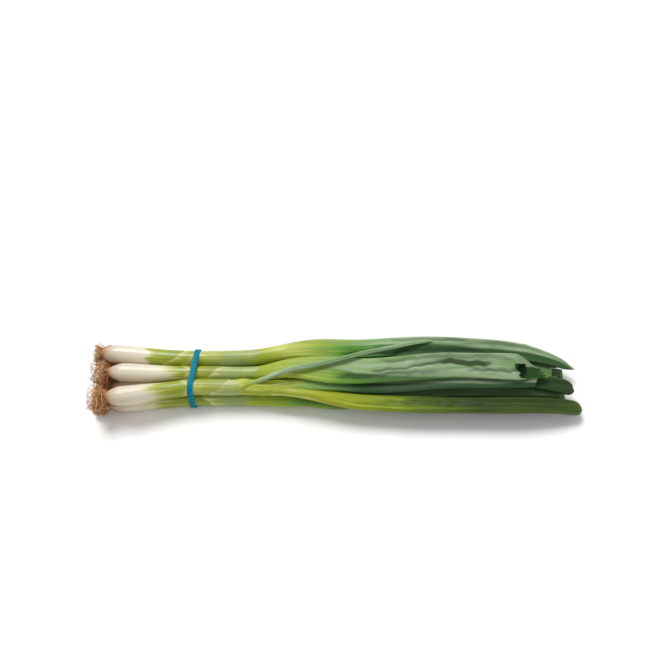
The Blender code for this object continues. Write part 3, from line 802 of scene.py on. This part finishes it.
def add_node(tree, kind, inputs=(), stops=(), output=0, **settings):
    """Adds a node with its inputs, colour stops and settings, and returns one output."""
    node = tree.nodes.new("ShaderNode" + kind)
    node.location = (220 * (len(tree.nodes) % 8), -280 * (len(tree.nodes) // 8))
    for name, value in settings.items():
        setattr(node, name, value)
    set_inputs(node, inputs)
    points = node.color_ramp.elements if stops else []
    while len(points) < len(stops):
        points.new(1.0)
    for point, (where, colour) in zip(points, stops):
        point.position = where
        point.color = linear(colour) if isinstance(colour, str) else colour
    return node.outputs[output]


def set_shader(material, **inputs):
    """Sets or links inputs of a material's shader. An underscore stands for each space."""
    shader = material.node_tree.nodes["Principled BSDF"]
    set_inputs(shader, {key.replace("_", " "): value for key, value in inputs.items()})


def new_material(name, **values):
    """A material with values set on its shader, and the function that adds nodes to it."""
    material = bpy.data.materials.new(name)
    material.use_nodes = True
    set_shader(material, **values)
    return material, partial(add_node, material.node_tree)


def patterns_on(add, grain, *patterns):
    """Uneven patterns, each given by its size across and along in millimetres, and its detail."""
    found = []
    for across, along, detail in patterns:
        scale = (1 / across, 1 / across, 1 / along)
        place = add("VectorMath", (grain, scale), operation="MULTIPLY")
        found.append(add("TexNoise", {"Vector": place, "Scale": 1.0, "Detail": detail}))
    return found


def onion_skin_material(name, colours, **values):
    """Living onion skin, grown in lengthwise fibres.

    White at the root end, it runs through lime to a dark blue-green. Its fibres show as
    fine parallel lines. Wax lies on the green as a grey bloom that handling has rubbed off
    in streaks, so the skin is glossy where it is bare and matt under the wax. On the leaves
    the bloom's grey also carries painted light on their upper, farther sides, and its
    absence painted shade on their near sides and in their folds.
    """
    material, add = new_material(name, **values)
    grain = add("Attribute", output="Vector", attribute_name="grain")
    tone, bloom, dry, yellow = (
        add("Attribute", output="Fac", attribute_name=key)
        for key in ("tone", "bloom", "dry", "yellow")
    )
    # Veins are about 0.8 mm apart. In the colour they are drawn 1.5 mm apart, so that they
    # show in a picture in which a millimetre is little more than a pixel.
    veins, ribs, streaks, patches, flecks = patterns_on(
        add, grain, (1.1, 70.0, 2.0), (0.8, 90.0, 1.0), (3.6, 95.0, 3.0), (5.0, 22.0, 3.0),
        (0.9, 4.0, 2.0),
    )
    # Noise lies round 0.5, mostly between 0.3 and 0.7.
    # The fibres barely show in the white and are plain to see in the green.
    contrast = add("Math", (tone, 0.1), operation="ADD")
    contrast = add("Math", (contrast, 0.4), operation="MINIMUM")
    depth = tone
    for pattern, share in ((veins, 1.0), (streaks, 1.0), (patches, 0.7)):
        strength = add("Math", (contrast, share), operation="MULTIPLY")
        swing = add("Math", (pattern, 0.5), operation="SUBTRACT")
        depth = add("Math", (swing, strength, depth), operation="MULTIPLY_ADD")
    green = add(
        "ValToRGB", (depth,),
        stops=[
            (0.00, "#f1e8d2"), (0.10, "#e9e2bd"), (0.20, "#c8ce7c"), (0.30, "#9fae3c"),
            (0.42, "#80a22c"), (0.55, "#578c28"), (0.70, "#35701e"), (0.85, "#205417"),
            (1.00, "#123c14"),
        ],
    )
    olive = add(
        "ValToRGB", (depth,),
        stops=[
            (0.00, "#f1e5cb"), (0.12, "#e2d9a0"), (0.26, "#abac28"), (0.42, "#8f981a"),
            (0.58, "#6f7f16"), (0.75, "#485c14"), (1.00, "#293a12"),
        ],
    )
    left = add("Math", (streaks, 2.8, -2.05), operation="MULTIPLY_ADD")
    left = add("Math", (patches, 2.4, left), operation="MULTIPLY_ADD", use_clamp=True)
    left = add("Math", (left, 0.6, 0.36), operation="MULTIPLY_ADD")
    wax_and_painted_light = add("Math", (bloom, left), operation="MULTIPLY")
    haze = add("Math", (wax_and_painted_light, 0.72), operation="MULTIPLY")
    patchy = add("Math", (flecks, 1.0, -0.25), operation="MULTIPLY_ADD")
    patchy = add("Math", (patches, 1.2, patchy), operation="MULTIPLY_ADD")
    browned = add("Math", (dry, patchy), operation="MULTIPLY", use_clamp=True)
    colour = green
    for amount, over in ((yellow, olive), (haze, colours.bloom), (browned, colours.dried)):
        colour = add("Mix", {0: amount, 6: colour, 7: over}, output=2, data_type="RGBA")
    roughness = add("Math", (wax_and_painted_light, 0.3, values["Roughness"]), operation="MULTIPLY_ADD")
    roughness = add("Math", (browned, 0.25, roughness), operation="MULTIPLY_ADD")
    height = add("Math", (streaks, 0.6), operation="MULTIPLY")
    for pattern, share in ((ribs, 0.7), (flecks, 0.18)):
        height = add("Math", (pattern, share, height), operation="MULTIPLY_ADD")
    bump = add("Bump", {"Height": height, "Strength": 0.6, "Distance": 0.35 * MM})
    set_shader(material, Base_Color=colour, Roughness=roughness, Normal=bump)
    return material


def root_material(colours):
    """Dried onion roots, washed and left to dry, matt and papery, from tan to dark brown."""
    material, add = new_material("dried_roots_matt", Roughness=0.82, IOR=1.45)
    grain = add("Attribute", output="Vector", attribute_name="grain")
    tint = add("Attribute", output="Fac", attribute_name="tone")
    # Blotches of soil and dry skin are 2 to 3 mm long, and wrinkles 0.5 mm apart.
    blotch, wrinkle = patterns_on(add, grain, (1.25, 2.5, 3.0), (0.5, 0.5, 2.0))
    shade = add("Math", (blotch, 0.5, tint), operation="MULTIPLY_ADD")
    brown = add(
        "ValToRGB", (shade,),
        stops=[
            (0.15, "#5f3f20"), (0.42, colours.root_dark), (0.72, colours.root_pale),
            (1.0, "#e6d4b4"),
        ],
    )
    bump = add("Bump", {"Height": wrinkle, "Strength": 0.7, "Distance": 0.2 * MM})
    set_shader(material, Base_Color=brown, Normal=bump)
    return material


def steer_roots(bunch, number, place, heading, swirl):
    """Keeps roots out of every bulb, and turns them round their own and not far from it."""
    for k, other in enumerate(ONIONS):
        y, z, _ = bunch.middle(k, 0, place[:, 0])
        away = place[:, 1:] - np.stack([y, z], -1)
        distance = np.linalg.norm(away, axis=1, keepdims=True) + 1e-9
        away /= distance
        keep_out = (shank_radius(other, place[:, 0]) + 0.45 * MM)[:, None]
        inside = (place[:, :1] > other.base - 0.8 * MM) & (distance < keep_out)
        place[:, 1:] += np.where(inside, away * (keep_out - distance), 0.0)
        heading[:, 1:] += np.where(inside, away * 0.3, 0.0)
        if k == number:
            far = distance > other.bulb_radius + (0.6 + 0.7 * other.row) * MM
            heading[:, 1:] -= np.where(far, away * 0.6, 0.0)
            heading[:, 1:] += np.stack([-away[:, 1], away[:, 0]], -1) * swirl


def grow_roots(bunch, number, count):
    """Paths of one onion's roots, shaped (steps, roots, 3), and how many steps each one has."""
    plant = ONIONS[number]
    chance = np.random.default_rng(ROOT_SEED + number)
    base = plant.base - 0.3 * MM
    y, z, _ = bunch.middle(number, 0, base)
    turn = GOLDEN_ANGLE * np.arange(count)
    out = np.sqrt((np.arange(count) + 0.5) / count)
    reach = 0.46 * plant.bulb_radius * out
    cos, sin = np.cos(turn), np.sin(turn)
    place = np.stack([np.full(count, base - 1.0 * MM), y + reach * cos, z + reach * sin], -1)
    heading = np.stack([np.full(count, -1.0), 1.3 * out * cos, 1.3 * out * sin], -1)
    heading += chance.normal(0, 0.25, (count, 3))
    axis = unit(chance.normal(size=(count, 3)))
    curl = chance.uniform(0.02, 0.16, (count, 1))
    swirl = chance.choice([-1.0, 1.0, 1.0], (count, 1)) * chance.uniform(0.05, 0.22, (count, 1))
    # An onion pushed further towards the end of the bunch has less room for its roots.
    room = min(1.0, base / TUFT_LENGTH)
    lengths = (room * chance.integers(9, ROOT_STEPS, count)).astype(int)
    # The tuft was pressed flat at its end, and over to one side, as it dried.
    pressed, back = max(base - TUFT_LENGTH, 1.5 * MM), base + min(5 * MM, 0.3 * base)
    lean = np.array([0.0, chance.uniform(-0.16, -0.05), chance.uniform(-0.08, 0.06)])
    path = [place]
    for _ in range(ROOT_STEPS):
        heading = unit(heading)
        place = place + heading * ROOT_STEP
        steer_roots(bunch, number, place, heading, swirl)
        heading[:, 0] += 0.7 * (place[:, 0] < pressed) - 0.5 * (place[:, 0] > back)
        heading[:, 2] += 0.4 * (place[:, 2] < 0.7 * MM)
        place[:, 2] = np.maximum(place[:, 2], 0.45 * MM)
        heading += np.cross(axis, heading) * curl + lean + chance.normal(0, 0.08, (count, 3))
        path.append(place)
    return np.array(path), lengths


def root_skins(bunch, number, sizes):
    """The root plate of one onion and the tangle of dry roots that grows from it."""
    plant = ONIONS[number]
    chance = np.random.default_rng(ROOT_LOOKS_SEED + number)
    skin = Skin()
    back = np.array([3.0, 2.7, 2.0, 1.0, 0.0])[:, None] * MM
    share = np.array([0.2, 0.34, 0.46, 0.52, 0.5])[:, None]
    s = plant.base - 0.1 * MM - back
    turn = angles(24, 0.0)
    radius = plant.bulb_radius * share * (1 + 0.06 * np.sin(5 * turn + number))
    y, z, _ = bunch.middle(number, 0, s)
    across, up = radius * np.cos(turn), radius * np.sin(turn)
    grain = grain_of(across, up, s)
    skin.add_tube(bunch.in_frame(s, y + across, z + up), grain=grain, tone=0.3)
    path, lengths = grow_roots(bunch, number, sizes.count)
    turn = angles(5, 0.0)[:, None]
    for root, length in enumerate(lengths):
        line = path[: length + 1, root]
        along = unit(np.gradient(line, axis=0))
        # Each ring is turned as little as can be from the one before it.
        side = np.cross(along[0], chance.normal(size=3))
        sides = []
        for forward in along:
            side = unit(side - forward * side.dot(forward))
            sides.append(side)
        side = np.array(sides)
        ring = side[:, None] * np.cos(turn) + np.cross(along, side)[:, None] * np.sin(turn)
        share = np.linspace(0, 1, length + 1)[:, None, None]
        radius = chance.uniform(0.55, 1.0) * sizes.thickness / 2 * (1 - 0.62 * share)
        points = line[:, None] + ring * radius + bunch.shift
        tint = chance.uniform(0.08, 0.66) + 0.15 * share[..., 0]
        skin.add_tube(points, grain=points / MM + 31.0 * root, tone=tint)
    return skin


def convex_hull(points):
    """Corners of the convex outline round flat points, counterclockwise."""
    points = sorted(set(points))

    def half_outline(ordered):
        outline = []
        for point in ordered:
            while len(outline) > 1:
                (ax, ay), (bx, by) = outline[-2:]
                if (bx - ax) * (point[1] - ay) - (by - ay) * (point[0] - ax) > 1e-12:
                    break
                outline.pop()
            outline.append(point)
        return outline[:-1]

    return half_outline(points) + half_outline(points[::-1])


def band_path(bunch):
    """The inside of the band round the shanks, and how far along it each point is."""
    points = []
    for number, plant in enumerate(ONIONS):
        for s in np.linspace(BAND_AT - 4.5 * MM, BAND_AT + 4.5 * MM, 5):
            y, z, _ = (float(value) for value in bunch.middle(number, 0, s))
            reach = float(shank_radius(plant, s)) + BAND_CLEARANCE
            for side in range(60):
                turn = 2 * math.pi * side / 60
                low = max(z + reach * math.sin(turn), BAND_THICKNESS)
                points.append((round(y + reach * math.cos(turn), 6), round(low, 6)))
    # Its flat underside reaches from the farthest onion of the low row to the nearest one.
    for number in (0, 3):
        y = float(bunch.middle(number, 0, BAND_AT)[0])
        points.append((round(y, 6), BAND_THICKNESS))
    outline = np.array(convex_hull(points))
    outline = np.concatenate([outline, outline[:1]])
    run = np.concatenate([[0.0], np.cumsum(np.hypot(*np.diff(outline, axis=0).T))])
    spots = np.linspace(0, run[-1], BAND_POINTS + 1)[:-1]
    path = np.stack([np.interp(spots, run, outline[:, axis]) for axis in (0, 1)], -1)
    for _ in range(6):
        path = 0.5 * path + 0.25 * (np.roll(path, 1, axis=0) + np.roll(path, -1, axis=0))
    return path, spots[:, None]


def band_skin(bunch, sizes):
    """The rubber band, stretched round the shanks, with a flat underside to rest on."""
    path, spots = band_path(bunch)
    ahead = unit(np.roll(path, -1, axis=0) - np.roll(path, 1, axis=0))
    outward = np.stack([ahead[:, 1], -ahead[:, 0]], -1)
    turn = angles(24)
    cos, sin = np.cos(turn), np.sin(turn)
    thick = sizes.thickness / 2 * np.sign(cos) * np.abs(cos) ** 0.8
    wide = sizes.width / 2 * np.sign(sin) * np.abs(sin) ** 0.6
    round_loop = angles(BAND_POINTS, 0.0)[:, None]
    # The cut edges of a stretched band are never quite straight.
    narrow = 1 - 0.05 * (1 + np.sin(3 * round_loop + 1) * np.cos(5 * round_loop)) / 2
    drift = 0.25 * MM * np.sin(2 * round_loop + 0.7) + 0.1 * MM * np.sin(7 * round_loop)
    thin = np.where(outward[:, 1:] < -0.9, 1.0, 0.94 + 0.06 * np.sin(9 * round_loop))
    middle = path + outward * sizes.thickness / 2
    y = middle[:, :1] + outward[:, :1] * thick * thin
    z = middle[:, 1:] + outward[:, 1:] * thick * thin
    x = BAND_AT + BAND_SLANT * middle[:, :1] + drift - wide * narrow
    grain = np.stack(np.broadcast_arrays(wide * narrow, thick, spots), -1) / MM
    edge = np.abs(wide) / (sizes.width / 2)
    skin = Skin()
    skin.add_tube(bunch.in_frame(x, y, z), loop=True, grain=grain, tone=edge)
    return skin


def rubber_material(colours):
    """Natural rubber, dyed blue in the mass, moulded as a tube and cut into bands.

    It has a soft satin sheen and fine stretch marks across it, and is paler towards its cut edges.
    """
    material, add = new_material(
        "dyed_rubber_satin", Roughness=0.5, IOR=1.42, Specular_IOR_Level=0.1
    )
    grain = add("Attribute", output="Vector", attribute_name="grain")
    edge = add("Attribute", output="Fac", attribute_name="tone")
    # Stretch marks lie across the band, 1.4 to a millimetre.
    marks = patterns_on(add, grain, (4.0, 1 / 1.4, 3.0))[0]
    shade = add("Math", (edge, 0.22, marks), operation="MULTIPLY_ADD")
    blue = add("ValToRGB", (shade,), stops=[(0.25, colours.band_deep), (0.75, colours.band)])
    bump = add("Bump", {"Height": marks, "Strength": 0.5, "Distance": 0.15 * MM})
    set_shader(material, Base_Color=blue, Normal=bump)
    return material


def board_material(colours):
    """White matt studio board, with a faint paper tooth that keeps its light soft."""
    material, add = new_material(
        "studio_board_matt", Base_Color=colours.floor, Roughness=0.9, IOR=1.45
    )
    # Board isn't grown, so its tooth of about 1 mm is laid on by place, in metres.
    place = add("TexCoord", output="Object")
    tooth = add("TexNoise", {"Vector": place, "Scale": 900.0, "Detail": 2.0})
    bump = add("Bump", {"Height": tooth, "Strength": 0.1, "Distance": 0.1 * MM})
    set_shader(material, Normal=bump)
    return material


def colour_property(name, description, colour):
    return FloatVectorProperty(
        name=name, description=description, default=linear(colour),
        subtype="COLOR", size=4, min=0.0, max=1.0,
    )


def length_property(name, description, millimetres, least, most):
    return FloatProperty(
        name=name, description=description, default=millimetres * MM, min=least * MM,
        max=most * MM, subtype="DISTANCE", unit="LENGTH", precision=5,
    )


class StalkSettings(PropertyGroup):
    """Sizes of the sheaths and leaves."""

    sheath: length_property("Sheath", "Thickness of each sheath round a shank", 0.1, 0.02, 0.12)
    wall: length_property("Leaf wall", "Thickness of the wall of a hollow leaf", 0.6, 0.3, 0.9)
    ring_step: length_property("Ring spacing", "Distance between rings of points", 2.5, 1.0, 8.0)
    around: IntProperty(
        name="Points around", description="Points round each stalk", default=44, min=16, max=96
    )


class RootSettings(PropertyGroup):
    """Number and size of the roots."""

    count: IntProperty(
        name="Roots", description="Roots on each onion", default=150, min=10, max=200
    )
    thickness: length_property("Thickness", "Thickness of the thickest roots", 0.8, 0.2, 1.2)


class BandSettings(PropertyGroup):
    """Size of the rubber band."""

    width: length_property("Width", "Width of the rubber band", 4.6, 2.0, 6.0)
    thickness: length_property("Thickness", "Thickness of the rubber band", 1.2, 0.6, 1.5)


class ColourSettings(PropertyGroup):
    """Colours of the bunch and its studio."""

    bloom: colour_property("Bloom", "Wax on the leaves", "#a5b896")
    dried: colour_property("Dried skin", "Dried edges and bulb bases", "#ab7f4e")
    root_dark: colour_property("Dark roots", "The darker roots", "#9a5b2a")
    root_pale: colour_property("Pale roots", "The paler roots", "#d2995f")
    band: colour_property("Band", "Stretched rubber", "#0086a2")
    band_deep: colour_property("Band, deep", "Rubber in its marks and creases", "#004f60")
    floor: colour_property("Floor", "Studio floor", "#f7f7f6")


class StageSettings(PropertyGroup):
    """Strength of the studio's light."""

    key: FloatProperty(
        name="Key light", description="Strength of the large soft light", default=2.45,
        min=0.0, max=20.0,
    )
    sky: FloatProperty(
        name="Surroundings", description="Strength of the even light from all round",
        default=0.48, min=0.0, max=3.0,
    )


def skin_materials(colours):
    """The two finishes of onion skin, made once."""
    found = [bpy.data.materials.get(name) for name in ("moist_white_sheath", "waxy_green_leaf")]
    if all(found):
        return found
    return [
        onion_skin_material(
            "moist_white_sheath", colours, Roughness=0.3, IOR=1.42,
            Subsurface_Weight=0.2, Subsurface_Radius=(1.0, 0.75, 0.4), Subsurface_Scale=2.5 * MM,
            Coat_Weight=0.15, Coat_Roughness=0.2,
        ),
        onion_skin_material(
            "waxy_green_leaf", colours, Roughness=0.45, IOR=1.36, Specular_IOR_Level=0.4,
            Subsurface_Weight=0.06, Subsurface_Radius=(0.5, 1.0, 0.2), Subsurface_Scale=1.5 * MM,
        ),
    ]


def build_each(skins, sizes, material, piece, node, slot):
    """Makes one piece on each onion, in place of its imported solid."""
    for number, plant in enumerate(ONIONS):
        skins(laid_out(), number, sizes).make(piece + plant.name, material, node + plant.name, slot)
    return {"FINISHED"}


class SPRING_ONION_OT_shanks(Operator):
    """Build the bulbs and shanks in their wrapped sheaths"""

    bl_idname = "spring_onion.shanks"
    bl_label = "Bulbs and shanks"
    bl_options = {"REGISTER", "UNDO"}

    def execute(self, context):
        material = skin_materials(context.scene.onion_colours)[0]
        sizes = context.scene.onion_stalks
        return build_each(shank_skins, sizes, material, "bulb_", "shank_", "white_shank")


class SPRING_ONION_OT_leaves(Operator):
    """Build the hollow leaves, from the sheaths to their tips and cut ends"""

    bl_idname = "spring_onion.leaves"
    bl_label = "Leaves"
    bl_options = {"REGISTER", "UNDO"}

    def execute(self, context):
        material = skin_materials(context.scene.onion_colours)[1]
        sizes = context.scene.onion_stalks
        return build_each(leaf_skins, sizes, material, "blades_", "leaves_", "green_leaf")


class SPRING_ONION_OT_roots(Operator):
    """Build the root plates with their tangles of dry roots"""

    bl_idname = "spring_onion.roots"
    bl_label = "Roots"
    bl_options = {"REGISTER", "UNDO"}

    def execute(self, context):
        material = root_material(context.scene.onion_colours)
        sizes = context.scene.onion_roots
        return build_each(root_skins, sizes, material, "root_tuft_", "roots_", "dry_root")


class SPRING_ONION_OT_band(Operator):
    """Build the rubber band that holds the bunch"""

    bl_idname = "spring_onion.band"
    bl_label = "Rubber band"
    bl_options = {"REGISTER", "UNDO"}

    def execute(self, context):
        material = rubber_material(context.scene.onion_colours)
        skin = band_skin(laid_out(), context.scene.onion_band)
        skin.make("rubber_band", material, "band", "band_rubber")
        return {"FINISHED"}


def add_light(name, x, y, z, power, spread):
    """A soft light that comes evenly from the side of x, y, z, as from a large far window."""
    lamp = bpy.data.lights.new(name, "SUN")
    lamp.energy, lamp.angle = power, math.radians(spread)
    light = add_object(name, lamp)
    light.location = (x, y, z)
    light.rotation_euler = (math.atan2(math.hypot(x, y), z), 0.0, math.atan2(-y, -x) - math.pi / 2)


class SPRING_ONION_OT_stage(Operator):
    """Build the floor, the lights and the camera"""

    bl_idname = "spring_onion.stage"
    bl_label = "Floor, lights and camera"
    bl_options = {"REGISTER", "UNDO"}

    def execute(self, context):
        scene = context.scene
        mesh = bpy.data.meshes.new("studio_floor")
        corners = ((-1, -1), (1, -1), (1, 1), (-1, 1))
        corners = [(FLOOR_EDGE * x, FLOOR_EDGE * y, 0) for x, y in corners]
        mesh.from_pydata(corners, [], [(0, 1, 2, 3)])
        mesh.materials.append(board_material(scene.onion_colours))
        floor = add_object("studio_floor", mesh)
        power = scene.onion_stage.key
        add_light("key_light", -0.3, 0.45, 0.85, power, 28)
        add_light("fill_light", 0.6, -0.6, 0.7, power * 0.12, 60)
        world = bpy.data.worlds.new("soft_white_room")
        world.use_nodes = True
        sky = {"Color": "#ffffff", "Strength": scene.onion_stage.sky}
        set_inputs(world.node_tree.nodes["Background"], sky)
        scene.world = world
        # Plain display of colour, so that a white floor shows white.
        scene.view_settings.view_transform = "Standard"
        lens = bpy.data.cameras.new("camera")
        lens.sensor_width, lens.lens = 36.0, 36.0 * LENS_LENGTH / PICTURE_WIDTH
        lens.clip_start, lens.clip_end = 0.01, 20.0
        camera = add_object("camera", lens)
        camera.location = CAMERA_PLACE
        camera.rotation_euler = (math.radians(CAMERA_TILT), 0.0, 0.0)
        scene.camera = camera
        return {"FINISHED"}


STEPS = (
    SPRING_ONION_OT_shanks, SPRING_ONION_OT_leaves, SPRING_ONION_OT_roots,
    SPRING_ONION_OT_band, SPRING_ONION_OT_stage,
)
SETTINGS = {
    "onion_stalks": StalkSettings, "onion_roots": RootSettings, "onion_band": BandSettings,
    "onion_colours": ColourSettings, "onion_stage": StageSettings,
}


class SPRING_ONION_PT_bunch(Panel):
    """Lists the steps that build the bunch, with their settings"""

    bl_label = "Spring onion bunch"
    bl_space_type = "VIEW_3D"
    bl_region_type = "UI"
    bl_category = "Spring onions"

    def draw(self, context):
        for name in SETTINGS:
            box = self.layout.box()
            settings = getattr(context.scene, name)
            for key in settings.bl_rna.properties.keys():
                if key not in {"rna_type", "name"}:
                    box.prop(settings, key)
        for step in STEPS:
            self.layout.operator(step.bl_idname)


def register():
    for kind in (*SETTINGS.values(), *STEPS, SPRING_ONION_PT_bunch):
        bpy.utils.register_class(kind)
    for name, kind in SETTINGS.items():
        setattr(bpy.types.Scene, name, PointerProperty(type=kind))


def unregister():
    for name in SETTINGS:
        delattr(bpy.types.Scene, name)
    for kind in reversed((*SETTINGS.values(), *STEPS, SPRING_ONION_PT_bunch)):
        bpy.utils.unregister_class(kind)


def main():
    register()
    bpy.ops.spring_onion.shanks()
    bpy.ops.spring_onion.leaves()
    bpy.ops.spring_onion.roots()
    bpy.ops.spring_onion.band()
    bpy.ops.spring_onion.stage()


if __name__ == "__main__":
    main()
